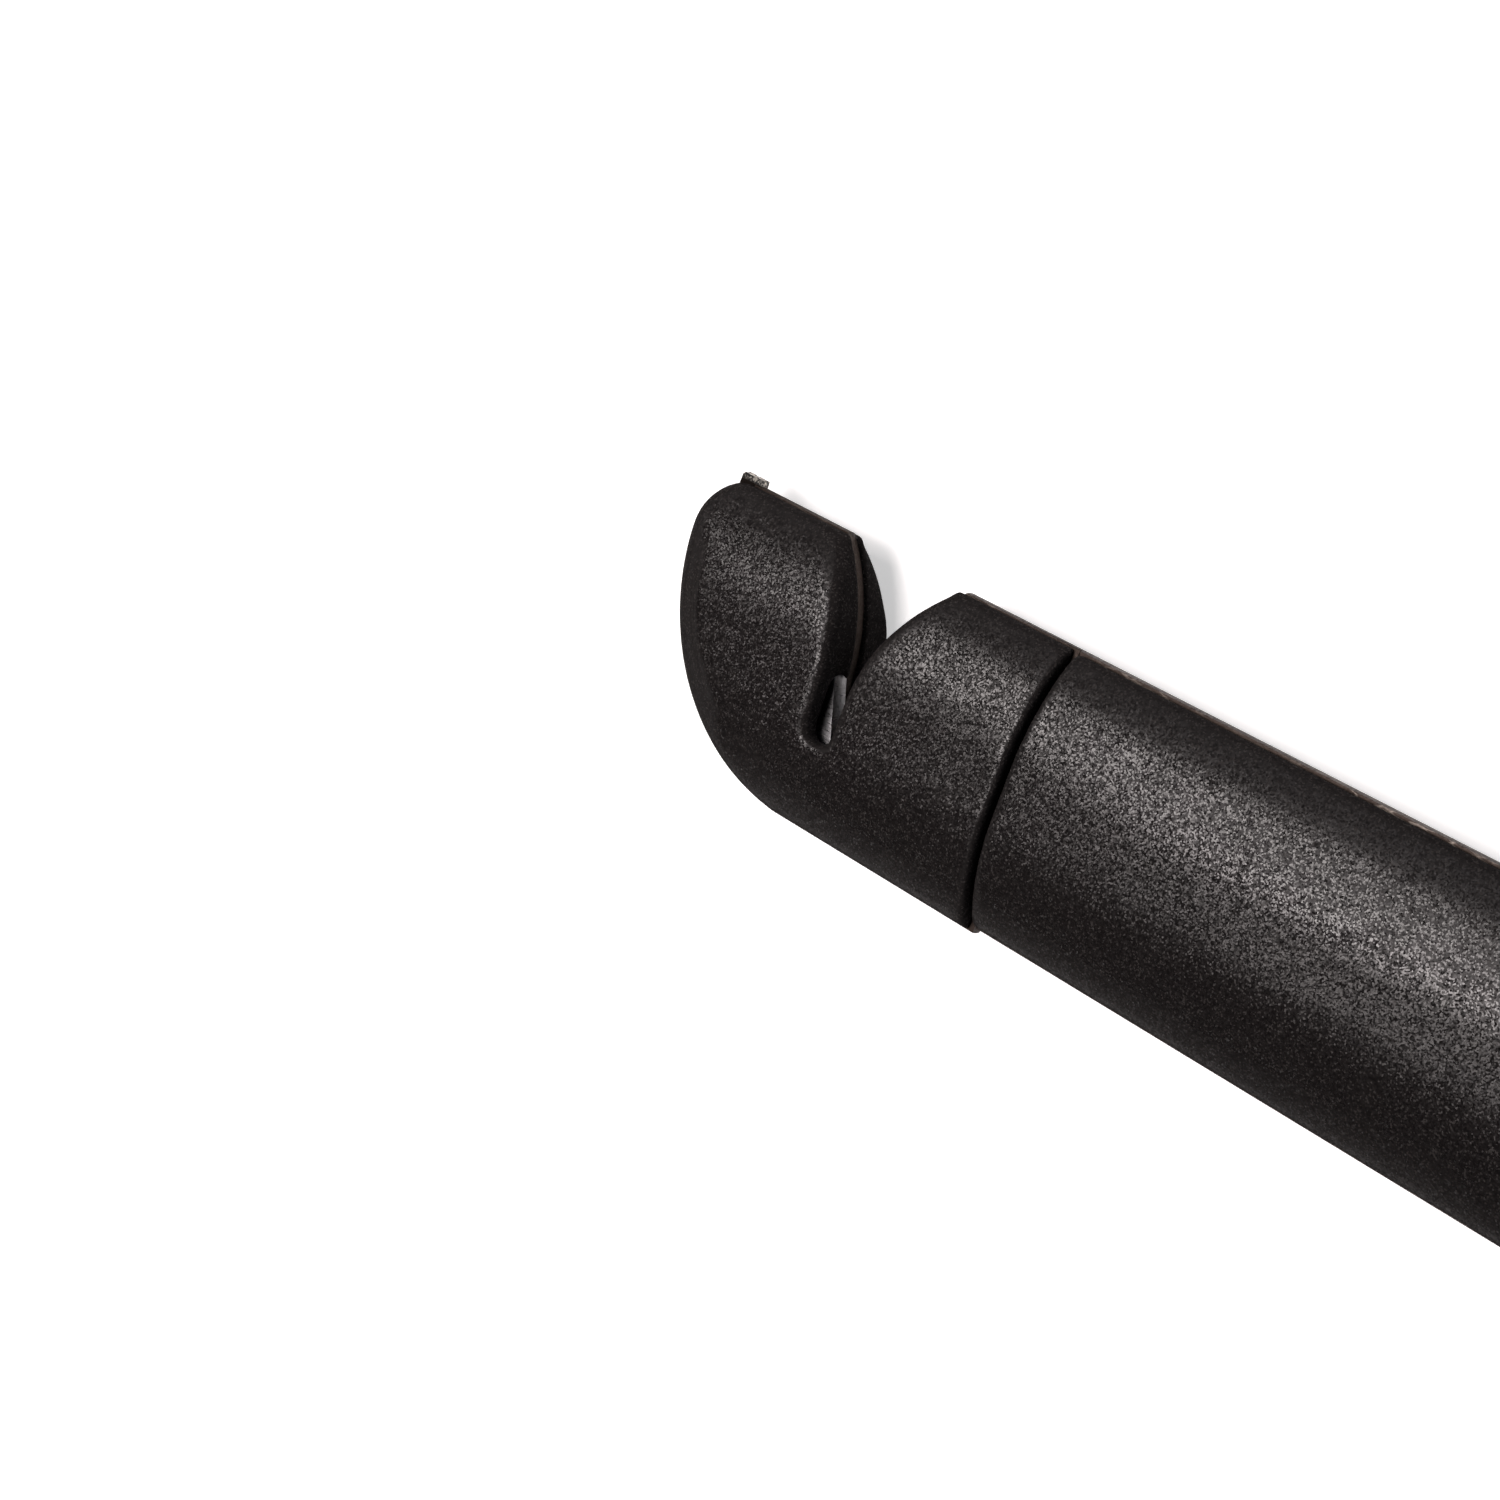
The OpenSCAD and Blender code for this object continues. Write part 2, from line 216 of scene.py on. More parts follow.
def length(name, description, default, low, high):
    """A short length that can be set in the sidebar."""
    return FloatProperty(
        name=name, description=description, default=default, min=low, max=high, precision=5, unit="LENGTH"
    )


def passes(name, description, default, most):
    """A number of smoothing passes."""
    return IntProperty(name=name, description=description, default=default, min=0, max=most)


def colour(name, description, default):
    """A colour of a finish or a light."""
    return FloatVectorProperty(
        name=name, description=description, default=default, subtype="COLOR", min=0.0, max=1.0
    )


def power(name, description, default):
    """The power of a light."""
    return FloatProperty(
        name=name, description=description, default=default, min=0.0, max=100.0, unit="POWER"
    )


class SharpenerShape(PropertyGroup):
    """Sizes of the softened edges."""

    head_voxel: length(
        "Head voxel", "Voxel size that the head's shells are remeshed with", 0.00022, 0.0001, 0.001
    )
    grip_voxel: length(
        "Grip voxel", "Voxel size that the grip's shells are remeshed with", 0.00033, 0.0001, 0.001
    )
    edge_smoothing: passes("Edge smoothing", "Smoothing passes over the whole of a shell", 5, 40)
    lip_smoothing: passes("Lip smoothing", "Smoothing passes that round the lips of the notch", 60, 200)
    lip_reach: length(
        "Lip reach", "How far from the notch wall the lips are rounded", 0.0024, 0.0005, 0.006
    )
    tip_smoothing: passes(
        "Tip smoothing", "Smoothing passes that blend the tip's rounded edge into the broad sides", 40, 200
    )
    seam_smoothing: passes(
        "Seam smoothing", "Smoothing passes that round the head's edge at the seam", 14, 100
    )
    seam_reach: length(
        "Seam reach", "How far from the seam the head's edge is rounded", 0.0012, 0.0, 0.004
    )
    stub_tear: length(
        "Stub tear", "How far the torn faces of the stub stand out of true", 0.00009, 0.0, 0.0003
    )
    steel_bevel: length("Steel bevel", "Broken edge on the sharpening steels", 0.0001, 0.0, 0.0005)


class SharpenerFinish(PropertyGroup):
    """Colours and grain of the finishes."""

    shell_black: colour("Shell black", "Base colour of the grained shells", (0.005, 0.0043, 0.0044))
    shell_speck: colour("Shell speck", "Colour of the pale grains in the shells", (0.03, 0.027, 0.026))
    shell_grain: colour(
        "Shell grain", "Base colour of the glinting grains in the shells", (0.0135, 0.0115, 0.0112)
    )
    shell_rubbed: colour("Shell rubbed", "Colour of the faint rubbing on the shells", (0.1, 0.095, 0.09))
    grain_size: length(
        "Grain size", "Size of one grain in the shells' moulded texture", 0.00016, 0.0001, 0.002
    )
    grain_tilt: FloatProperty(
        name="Grain tilt",
        description="How far a grain leans off the surface",
        default=0.65,
        min=0.0,
        max=2.0,
    )
    plate_brown: colour("Plate brown", "Base colour of the browned middle plates", (0.036, 0.028, 0.024))
    plate_scuff: colour("Plate scuff", "Colour of the rubbed places on the plates", (0.17, 0.148, 0.13))
    # The torn stub's facets: bare metal, painted dark as shade or bright as glints at random
    torn_facet_shade: colour("Torn dark", "Colour of the dark facets on the torn stub", (0.1, 0.1, 0.1))
    torn_facet_glint: colour("Torn bright", "Colour of the bright facets on the torn stub", (0.8, 0.76, 0.68))
    steel_grey: colour("Steel grey", "Base colour of the sharpening steels", (0.42, 0.42, 0.43))
    zinc: colour("Zinc", "Base colour of the plated fittings", (0.6, 0.6, 0.58))


class SharpenerStage(PropertyGroup):
    """Camera and lights."""

    camera_place: FloatVectorProperty(
        name="Camera place",
        description="Where the camera stands",
        default=(0.10724, 0.06446, 0.23015),
        subtype="TRANSLATION",
        unit="LENGTH",
    )
    camera_forward: FloatVectorProperty(
        name="Camera forward",
        description="Direction that the camera looks in",
        default=(-0.5969, -0.2566, -0.7602),
        subtype="DIRECTION",
    )
    camera_up: FloatVectorProperty(
        name="Camera up",
        description="Direction that is up in the picture",
        default=(-0.4105, 0.9118, 0.0146),
        subtype="DIRECTION",
    )
    lens: FloatProperty(
        name="Lens",
        description="Focal length on a 36 mm sensor",
        default=66.0,
        min=20.0,
        max=200.0,
    )
    key_power: power("Key power", "Power of the main soft light", 1.64)
    low_power: power("Low power", "Power of the soft light beside the main one", 1.8)
    fill_power: power("Fill power", "Power of the fill light", 0.4)
    side_power: power("Side power", "Power of the long, weak light beyond the butt", 1.2)
    key_colour: colour("Key colour", "Colour of the two main soft lights", (1.0, 0.925, 0.91))
    fill_colour: colour("Fill colour", "Colour of the fill light and the side light", (0.98, 0.94, 1.0))
    sky: FloatProperty(
        name="Sky",
        description="Strength of the even light from all round",
        default=0.05,
        min=0.0,
        max=2.0,
    )


def deselect_all():
    """Leaves edit mode and clears the selection."""
    if bpy.context.object and bpy.context.object.mode != "OBJECT":
        bpy.ops.object.mode_set(mode="OBJECT")
    bpy.ops.object.select_all(action="DESELECT")


def activate(piece):
    """Makes a piece the only selected and active object."""
    deselect_all()
    piece.select_set(True)
    bpy.context.view_layer.objects.active = piece


def delete(piece):
    """Deletes a piece that was only a help in making others."""
    activate(piece)
    bpy.ops.object.delete()


def rename(piece, name):
    """Names a piece and its mesh alike."""
    piece.name = name
    piece.data.name = name


def select_all_points():
    """Goes into edit mode with the whole of the active piece selected."""
    bpy.ops.object.mode_set(mode="EDIT")
    bpy.ops.mesh.select_all(action="SELECT")


def select_points(piece, test):
    """Goes into edit mode with the points selected whose place passes the test."""
    bpy.ops.object.mode_set(mode="EDIT")
    bpy.ops.mesh.select_mode(type="VERT")
    bpy.ops.mesh.select_all(action="DESELECT")
    bpy.ops.object.mode_set(mode="OBJECT")
    for point in piece.data.vertices:
        point.select = test(point.co)
    bpy.ops.object.mode_set(mode="EDIT")


def smooth_selected(times):
    """Smooths the selected points and leaves edit mode."""
    bpy.ops.mesh.vertices_smooth(factor=SMOOTH_FACTOR, repeat=times)
    bpy.ops.object.mode_set(mode="OBJECT")


def smooth_points(piece, times, test):
    """Smooths the points of a piece whose place passes the test."""
    select_points(piece, test)
    smooth_selected(times)


def settle():
    """Makes the active piece's place, turn and scale part of its mesh."""
    bpy.ops.object.transform_apply(location=True, rotation=True, scale=True)


def copied_node(node, name):
    """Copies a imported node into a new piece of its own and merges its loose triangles."""
    activate(frame["nodes"][node])
    bpy.ops.object.duplicate(linked=False)
    piece = bpy.context.object
    bpy.ops.object.parent_clear(type="CLEAR_KEEP_TRANSFORM")
    rename(piece, name)
    for key in list(piece.keys()):
        if key.startswith("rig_"):
            del piece[key]
    select_all_points()
    bpy.ops.mesh.remove_doubles(threshold=MERGE_DISTANCE)
    bpy.ops.object.mode_set(mode="OBJECT")
    return piece


def loose_middles(node):
    """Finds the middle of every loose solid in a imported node."""
    copied_node(node, node + "_loose")
    select_all_points()
    bpy.ops.mesh.separate(type="LOOSE")
    bpy.ops.object.mode_set(mode="OBJECT")
    middles = []
    for solid in bpy.context.selected_objects:
        corners = [Vector(corner) for corner in solid.bound_box]
        middles.append(sum(corners, Vector()) / len(corners))
    bpy.ops.object.delete()
    return middles


def apply_modifier(piece, kind, **settings):
    """Adds a modifier with its settings and applies it."""
    activate(piece)
    bpy.ops.object.modifier_add(type=kind)
    modifier = piece.modifiers[-1]
    for key, value in settings.items():
        setattr(modifier, key, value)
    bpy.ops.object.modifier_apply(modifier=modifier.name)


def dress(piece, material):
    """Gives a piece one material and no other."""
    piece.data.materials.clear()
    piece.data.materials.append(material)


def fit_piece(piece, body, slot, material, *nodes):
    """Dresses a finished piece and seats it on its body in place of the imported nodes."""
    dress(piece, material)
    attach(piece, body)
    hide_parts(*nodes)


class NodeSheet:
    """Lays out, feeds and links the nodes of one tree."""

    COLUMNS = 8
    COLUMN_WIDTH = 180
    ROW_HEIGHT = 220
    MIX_COLOURS = (6, 7)
    MIX_RESULT = 2

    def __init__(self, tree):
        self.tree = tree

    def add(self, kind, label="", **settings):
        row, column = divmod(len(self.tree.nodes), self.COLUMNS)
        node = self.tree.nodes.new(kind)
        node.label = label
        node.location = (self.COLUMN_WIDTH * column, -self.ROW_HEIGHT * row)
        for key, value in settings.items():
            setattr(node, key, value)
        return node

    def feed(self, sockets, values):
        """Links each named or numbered socket to another socket, or sets it to a value."""
        for key, value in values.items():
            if isinstance(value, bpy.types.NodeSocket):
                self.tree.links.new(value, sockets[key])
            else:
                sockets[key].default_value = value

    def group(self, tree, label, inputs):
        """Adds a node group and returns its outputs."""
        node = self.add("ShaderNodeGroup", label, node_tree=tree)
        self.feed(node.inputs, inputs)
        return node.outputs

    def math(self, operation, label, *values):
        """Adds a step of arithmetic and returns its result."""
        node = self.add("ShaderNodeMath", label, operation=operation)
        self.feed(node.inputs, dict(enumerate(values)))
        return node.outputs[0]

    def vector(self, operation, label, *values):
        """Adds a step of vector arithmetic and returns its result."""
        node = self.add("ShaderNodeVectorMath", label, operation=operation)
        self.feed(node.inputs, dict(enumerate(values)))
        return node.outputs["Value" if operation == "LENGTH" else "Vector"]

    def split(self, label, value):
        """Adds a split of a vector into X, Y and Z and returns them."""
        node = self.add("ShaderNodeSeparateXYZ", label)
        self.feed(node.inputs, {0: value})
        return node.outputs

    def mapped(self, value, source, target, label):
        """Adds a map of one value from a source range to a target range and returns its result."""
        node = self.add("ShaderNodeMapRange", label)
        ends = {"From Min": source[0], "From Max": source[1], "To Min": target[0], "To Max": target[1]}
        self.feed(node.inputs, {"Value": value, **ends})
        return node.outputs["Result"]

    def mixed(self, factor, first, second, label):
        """Adds a mix of two colours, given as colours or sockets, and returns its result."""
        node = self.add("ShaderNodeMix", label, data_type="RGBA")
        self.feed(node.inputs, {0: factor})
        for index, value in zip(self.MIX_COLOURS, (first, second)):
            is_socket = isinstance(value, bpy.types.NodeSocket)
            self.feed(node.inputs, {index: value if is_socket else (*value, 1.0)})
        return node.outputs[self.MIX_RESULT]

    def bumped(self, height, strength):
        """Adds a fine bump of one height and returns its normal."""
        node = self.add("ShaderNodeBump", "bump")
        self.feed(node.inputs, {"Strength": strength, "Distance": BUMP_DEPTH, "Height": height})
        return node.outputs["Normal"]

    def turn(self):
        """Adds the surface's own normal and returns it."""
        return self.add("ShaderNodeTexCoord", "turn").outputs["Normal"]


def group_of(name, inputs, outputs):
    """Starts a shader node group with named sockets; returns its sheet and its two ends."""
    tree = bpy.data.node_groups.new(name, "ShaderNodeTree")
    for side, sockets in (("INPUT", inputs), ("OUTPUT", outputs)):
        for label, kind in sockets.items():
            tree.interface.new_socket(name=label, in_out=side, socket_type="NodeSocket" + kind)
    sheet = NodeSheet(tree)
    return sheet, sheet.add("NodeGroupInput").outputs, sheet.add("NodeGroupOutput").inputs


def moulded_grain_group():
    """Spark-eroded grain: a tone and a facet for every grain, pale grains, a grit height, a slow cloud."""
    sheet, start, end = group_of(
        "moulded_grain",
        {"Place": "Vector", "Density": "Float", "Tilt": "Float"},
        {"Facet": "Vector", "Height": "Float", "Grains": "Float", "Pale": "Float", "Cloud": "Float"},
    )
    place, density = start["Place"], start["Density"]
    cells = sheet.add("ShaderNodeTexVoronoi", "grains")
    sheet.feed(cells.inputs, {"Vector": place, "Scale": density})
    grit = sheet.add("ShaderNodeTexNoise", "grit")
    sheet.feed(grit.inputs, {"Vector": place, "Scale": density, "Detail": GRIT_DETAIL})
    cloud = sheet.add("ShaderNodeTexNoise", "cloud")
    sheet.feed(cloud.inputs, {"Vector": place, "Scale": CLOUD_DENSITY, "Detail": CLOUD_DETAIL})
    own = sheet.add("ShaderNodeSeparateColor", "tone of a grain")
    sheet.feed(own.inputs, {"Color": cells.outputs["Color"]})
    lean = sheet.vector("SUBTRACT", "lean of a grain", cells.outputs["Color"], (MIDDLE_TONE,) * 3)
    far = sheet.vector("LENGTH", "how far off", lean)
    few = sheet.math("MULTIPLY", "few lean far", far, start["Tilt"])
    leaning = sheet.vector("MULTIPLY", "how far it leans", lean, few)
    turned_off = sheet.vector("ADD", "off the surface", leaning, sheet.turn())
    results = {
        "Facet": sheet.vector("NORMALIZE", "facet", turned_off),
        "Height": grit.outputs["Fac"],
        "Grains": own.outputs["Red"],
        "Pale": sheet.mapped(own.outputs["Green"], PALE_TONES, WHOLE, "pale grains"),
        "Cloud": cloud.outputs["Fac"],
    }
    sheet.feed(end, results)
    return sheet.tree


def scratch_group():
    """Thin scratches: noise drawn out along one direction and cut to narrow lines."""
    sheet, start, end = group_of(
        "drawn_scratches",
        {"Place": "Vector", "Stretch": "Vector", "Width": "Float"},
        {"Lines": "Float", "Tone": "Float"},
    )
    drawn = sheet.vector("MULTIPLY", "draw out", start["Place"], start["Stretch"])
    noise = sheet.add("ShaderNodeTexNoise", "drawn noise")
    sheet.feed(noise.inputs, {"Vector": drawn, "Scale": 1.0, "Detail": DRAWN_DETAIL})
    tone = noise.outputs["Fac"]
    away = sheet.math("ABSOLUTE", "distance", sheet.math("SUBTRACT", "from the middle", tone, MIDDLE_TONE))
    lines = sheet.mapped(away, (0.0, start["Width"]), REVERSED, "lines")
    sheet.feed(end, {"Lines": lines, "Tone": tone})
    return sheet.tree


def new_material(name):
    """Starts an empty node material; returns it with its sheet, Object coordinates and shader sockets."""
    material = bpy.data.materials.new(name)
    material.use_nodes = True
    material.node_tree.nodes.clear()
    sheet = NodeSheet(material.node_tree)
    place = sheet.add("ShaderNodeTexCoord", "place").outputs["Object"]
    shader = sheet.add("ShaderNodeBsdfPrincipled", "surface")
    out = sheet.add("ShaderNodeOutputMaterial", "out")
    sheet.feed(out.inputs, {"Surface": shader.outputs["BSDF"]})
    return material, sheet, place, shader.inputs


def edge_mask(sheet):
    """Adds a mask of the handled edges, where the surface turns away from the broad sides."""
    facing = sheet.split("facing", sheet.turn())
    broad = sheet.math("ABSOLUTE", "towards a broad side", facing["Z"])
    along = sheet.math("ABSOLUTE", "along the tool", facing["X"])
    ends = sheet.math("MULTIPLY", "ends count more", along, ENDS_SHARE)
    tilt = sheet.math("SUBTRACT", "broad side less ends", broad, ends)
    return sheet.mapped(tilt, EDGE_TILTS, REVERSED, "handled edge")


def grained_black(finish, groups):
    """Near-black moulded plastic with a fine sparkling grain and a few rubbed places."""
    material, sheet, place, surface = new_material("grained_black")
    density = 1.0 / finish.grain_size
    grain = sheet.group(
        groups["grain"], "grain", {"Place": place, "Density": density, "Tilt": finish.grain_tilt}
    )
    scuffs = sheet.group(groups["scratch"], "rubbing", {"Place": place, **SHELL_RUBBING})
    toned = sheet.mixed(grain["Grains"], finish.shell_black, finish.shell_grain, "grain tones")
    specked = sheet.mixed(grain["Pale"], toned, finish.shell_speck, "pale grains")
    faint = sheet.mapped(scuffs["Lines"], WHOLE, (0.0, SHELL_RUBBING_SHARE), "faint rubbing")
    handled = edge_mask(sheet)
    gloss = sheet.mapped(grain["Cloud"], SHELL_CLOUD, SHELL_GLOSS, "gloss")
    dull = sheet.mapped(handled, WHOLE, (0.0, EDGE_DULLNESS), "dull edge")
    glints = sheet.mapped(grain["Grains"], GLINT_TONES, WHOLE, "glinting grains")
    kept = sheet.mapped(handled, WHOLE, (1.0, EDGE_GLINTS), "fewer on the edges")
    looks = {
        "Base Color": sheet.mixed(faint, specked, finish.shell_rubbed, "rubbed"),
        "Roughness": sheet.math("ADD", "duller on the edges", gloss, dull),
        "Normal": grain["Facet"],
        "Specular IOR Level": SHELL_SPECULAR,
        "Coat Weight": sheet.math("MULTIPLY", "glints", glints, kept),
        "Coat Roughness": GLINT_GLOSS,
        "Coat IOR": GLINT_IOR,
    }
    sheet.feed(surface, looks)
    return material


def browned_steel(finish, groups):
    """Browned steel of the middle plates, rubbed bright in streaks, with bare metal on the torn stub whose
    facets are painted dark as shade or bright as glints at random.
    """
    material, sheet, place, surface = new_material("browned_steel")
    grain = sheet.group(groups["grain"], "grain", {"Place": place, "Density": PLATE_DENSITY})
    scuffs = sheet.group(groups["scratch"], "rubbing", {"Place": place, **PLATE_RUBBING})
    patch = sheet.mapped(grain["Cloud"], PLATE_CLOUD, WHOLE, "rubbed patches")
    amount = sheet.math("MULTIPLY", "rubbing", patch, scuffs["Lines"])
    rubbed = sheet.mixed(amount, finish.plate_brown, finish.plate_scuff, "rubbed")
    # Torn stub: bare metal, its facets painted dark as shade or bright as glints at random
    facets = sheet.mapped(grain["Grains"], TORN_GLINT_TONES, WHOLE, "torn facets")
    torn = sheet.mixed(facets, finish.torn_facet_shade, finish.torn_facet_glint, "torn metal")
    root = STUB_TOP_Y - STUB_HEIGHT
    height = sheet.split("height on the stub", place)["Y"]
    stub = sheet.mapped(height, (root - STUB_FADE, root), WHOLE, "torn stub")
    looks = {
        "Base Color": sheet.mixed(stub, rubbed, torn, "plate and stub"),
        "Roughness": sheet.mapped(grain["Grains"], WHOLE, PLATE_GLOSS, "gloss"),
        "Normal": sheet.bumped(grain["Height"], PLATE_BUMP),
        "Metallic": 1.0,
    }
    sheet.feed(surface, looks)
    return material


def ground_steel(finish, groups):
    """Hardened steel with the fine lines of a grinding wheel across its length."""
    material, sheet, place, surface = new_material("ground_steel")
    lines = sheet.group(groups["scratch"], "grinding", {"Place": place, **GRINDING})
    dark = tuple(GROUND_DARK * channel for channel in finish.steel_grey)
    looks = {
        "Base Color": sheet.mixed(lines["Tone"], dark, finish.steel_grey, "ground tone"),
        "Roughness": sheet.mapped(lines["Lines"], WHOLE, GROUND_GLOSS, "gloss"),
        "Normal": sheet.bumped(lines["Tone"], GROUND_BUMP),
        "Metallic": 1.0,
    }
    sheet.feed(surface, looks)
    return material


def plated_zinc(finish, groups):
    """Zinc plating of the screws, pins, spring and eye, slightly clouded."""
    material, sheet, place, surface = new_material("plated_zinc")
    grain = sheet.group(groups["grain"], "clouding", {"Place": place, "Density": ZINC_DENSITY})
    dull = tuple(ZINC_DULL * channel for channel in finish.zinc)
    looks = {
        "Base Color": sheet.mixed(grain["Cloud"], dull, finish.zinc, "clouded"),
        "Roughness": sheet.mapped(grain["Grains"], WHOLE, ZINC_GLOSS, "gloss"),
        "Normal": sheet.bumped(grain["Height"], ZINC_BUMP),
        "Metallic": 1.0,
    }
    sheet.feed(surface, looks)
    return material


def finishes():
    """Builds each finish once and returns them by name."""
    if "grained_black" not in bpy.data.materials:
        finish = bpy.context.scene.sharpener_finish
        groups = {"grain": moulded_grain_group(), "scratch": scratch_group()}
        for make in (grained_black, browned_steel, ground_steel, plated_zinc):
            make(finish, groups)
    return bpy.data.materials


def softened_shell(node, voxel, times):
    """Copies a packed shell, remeshes it finely and smooths its edges."""
    piece = copied_node(node, node + "_moulded")
    apply_modifier(piece, "REMESH", mode="VOXEL", voxel_size=voxel)
    select_all_points()
    smooth_selected(times)
    bpy.ops.object.shade_smooth()
    return piece


def depth_behind_notch(place):
    """Distance of a point from the wall of the notch, counted into the shell."""
    across = abs(place.x - NOTCH_X)
    if place.y >= FLARE_Y:
        return FLARE_RADIUS - math.hypot(FLARE_RADIUS + SLOT_RADIUS - across, place.y - FLARE_Y)
    if place.y >= SLOT_Y:
        return across - SLOT_RADIUS
    return math.hypot(across, place.y - SLOT_Y) - SLOT_RADIUS


def is_outer(place):
    """Tells whether a point lies well off the plane that the two shells part at."""
    return abs(place.z - MIDDLE_Z) > ROUNDED_FROM


class SHARPENER_OT_head_shells(Operator):
    """Round the tip, the lips of the notch and the seam edge on the head's two shells."""

    bl_idname = "sharpener.head_shells"
    bl_label = "Head Shells"

    def execute(self, context):
        shape = context.scene.sharpener_shape

        def on_tip(place):
            return is_outer(place) and place.x < TIP_X

        def on_lip(place):
            return is_outer(place) and abs(depth_behind_notch(place)) < shape.lip_reach

        def on_seam(place):
            return is_outer(place) and place.x > SEAM_X - shape.seam_reach

        for node in ("head_shell_front", "head_shell_back"):
            piece = softened_shell(node, shape.head_voxel, shape.edge_smoothing)
            smooth_points(piece, shape.tip_smoothing, on_tip)
            smooth_points(piece, shape.lip_smoothing, on_lip)
            smooth_points(piece, shape.seam_smoothing, on_seam)
            fit_piece(piece, "head", "shell_plastic", finishes()["grained_black"], node)
        return {"FINISHED"}


class SHARPENER_OT_grip_shells(Operator):
    """Soften the seam edge, the screw holes and the eye's seat on the grip's two shells."""

    bl_idname = "sharpener.grip_shells"
    bl_label = "Grip Shells"

    def execute(self, context):
        shape = context.scene.sharpener_shape
        for node in ("grip_shell_front", "grip_shell_back"):
            piece = softened_shell(node, shape.grip_voxel, shape.edge_smoothing)
            fit_piece(piece, "grip", "shell_plastic", finishes()["grained_black"], node)
        return {"FINISHED"}


class SHARPENER_OT_head_frame(Operator):
    """Tear the stub on the edge of the head's plate."""

    bl_idname = "sharpener.head_frame"
    bl_label = "Head Plate"

    def execute(self, context):
        shape = context.scene.sharpener_shape

        def on_stub(place):
            return place.y > STUB_TOP_Y - STUB_HEIGHT

        piece = copied_node("head_frame", "head_frame_torn")
        select_points(piece, on_stub)
        bpy.ops.mesh.subdivide(number_cuts=STUB_CUTS)
        select_points(piece, on_stub)
        bpy.ops.transform.translate(value=(0.0, -STUB_SINK * shape.stub_tear, 0.0))
        bpy.ops.transform.vertex_random(offset=shape.stub_tear, seed=STUB_SEED)
        bpy.ops.object.mode_set(mode="OBJECT")
        bpy.ops.object.shade_smooth_by_angle(angle=STUB_SHARP)
        fit_piece(piece, "head", "plate_steel", finishes()["browned_steel"], "head_frame")
        return {"FINISHED"}


class SHARPENER_OT_steels(Operator):
    """Break the edges of the two sharpening steels."""

    bl_idname = "sharpener.steels"
    bl_label = "Sharpening Steels"

    def execute(self, context):
        bevel = {
            "width": context.scene.sharpener_shape.steel_bevel,
            "segments": STEEL_BEVEL_STEPS,
            "limit_method": "ANGLE",
            "angle_limit": STEEL_CORNER,
        }
        for node in ("steel_left", "steel_right"):
            piece = copied_node(node, node + "_ground")
            select_all_points()
            bpy.ops.mesh.dissolve_limited(angle_limit=STEEL_FLAT)
            bpy.ops.object.mode_set(mode="OBJECT")
            apply_modifier(piece, "BEVEL", **bevel)
            bpy.ops.object.shade_smooth_by_angle(angle=STEEL_SHARP)
            fit_piece(piece, "head", "hardened_steel", finishes()["ground_steel"], node)
        return {"FINISHED"}


def turned(name, outline, segments, closed):
    """Carries a circle through (radius, height) steps, as on a lathe, and closes its ends."""
    radius, height = outline[0]
    deselect_all()
    bpy.ops.mesh.primitive_circle_add(vertices=segments, radius=radius, location=(0.0, 0.0, height))
    piece = bpy.context.object
    rename(piece, name)
    settle()
    select_all_points()
    for next_radius, next_height in outline[1:] + (outline[:1] if closed else ()):
        bpy.ops.mesh.extrude_edges_move(TRANSFORM_OT_translate={"value": (0.0, 0.0, next_height - height)})
        widen = next_radius / radius
        bpy.ops.transform.resize(value=(widen, widen, 1.0), center_override=(0.0, 0.0, next_height))
        radius, height = next_radius, next_height
    bpy.ops.mesh.select_all(action="SELECT")
    bpy.ops.mesh.remove_doubles(threshold=MERGE_DISTANCE)
    if not closed:
        bpy.ops.mesh.fill_holes(sides=0)
    bpy.ops.mesh.select_all(action="SELECT")
    bpy.ops.mesh.normals_make_consistent(inside=False)
    bpy.ops.object.mode_set(mode="OBJECT")
    return piece


class SHARPENER_OT_screws(Operator):
    """Turn one pan-head screw with a cross recess and copy it to every post."""

    bl_idname = "sharpener.screws"
    bl_label = "Screws"

    def execute(self, context):
        pattern = self.pattern()
        for node, body in (("head_screws", "head"), ("grip_screws", "grip")):
            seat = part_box(node)[0].z + SCREW_HEAD
            copies = [self.copy_to(pattern, (place.x, place.y, seat)) for place in loose_middles(node)]
            deselect_all()
            for piece in copies:
                piece.select_set(True)
            context.view_layer.objects.active = copies[0]
            bpy.ops.object.join()
            piece = context.object
            rename(piece, node + "_turned")
            bpy.ops.object.shade_smooth_by_angle(angle=TURNED_SHARP)
            fit_piece(piece, body, "plated_steel", finishes()["plated_zinc"], node)
        delete(pattern)
        return {"FINISHED"}

    def pattern(self):
        screw = turned("screw_pattern", SCREW_OUTLINE, SCREW_SEGMENTS, False)
        middle = (0.0, 0.0, CROSS_Z)
        deselect_all()
        bpy.ops.mesh.primitive_cube_add(size=1.0, location=middle)
        cutter = bpy.context.object
        cutter.scale = CROSS_SIZE
        settle()
        select_points(cutter, lambda place: place.z > CROSS_Z)
        bpy.ops.transform.resize(value=CROSS_TAPER, center_override=middle)
        bpy.ops.mesh.select_all(action="SELECT")
        bpy.ops.mesh.duplicate()
        bpy.ops.transform.rotate(value=math.pi / 2.0, orient_axis="Z", center_override=middle)
        bpy.ops.object.mode_set(mode="OBJECT")
        apply_modifier(
            screw, "BOOLEAN", operation="DIFFERENCE", solver="EXACT", use_self=True, object=cutter
        )
        delete(cutter)
        return screw

    def copy_to(self, pattern, place):
        activate(pattern)
        bpy.ops.object.duplicate(linked=False)
        bpy.ops.transform.translate(value=place)
        settle()
        return bpy.context.object


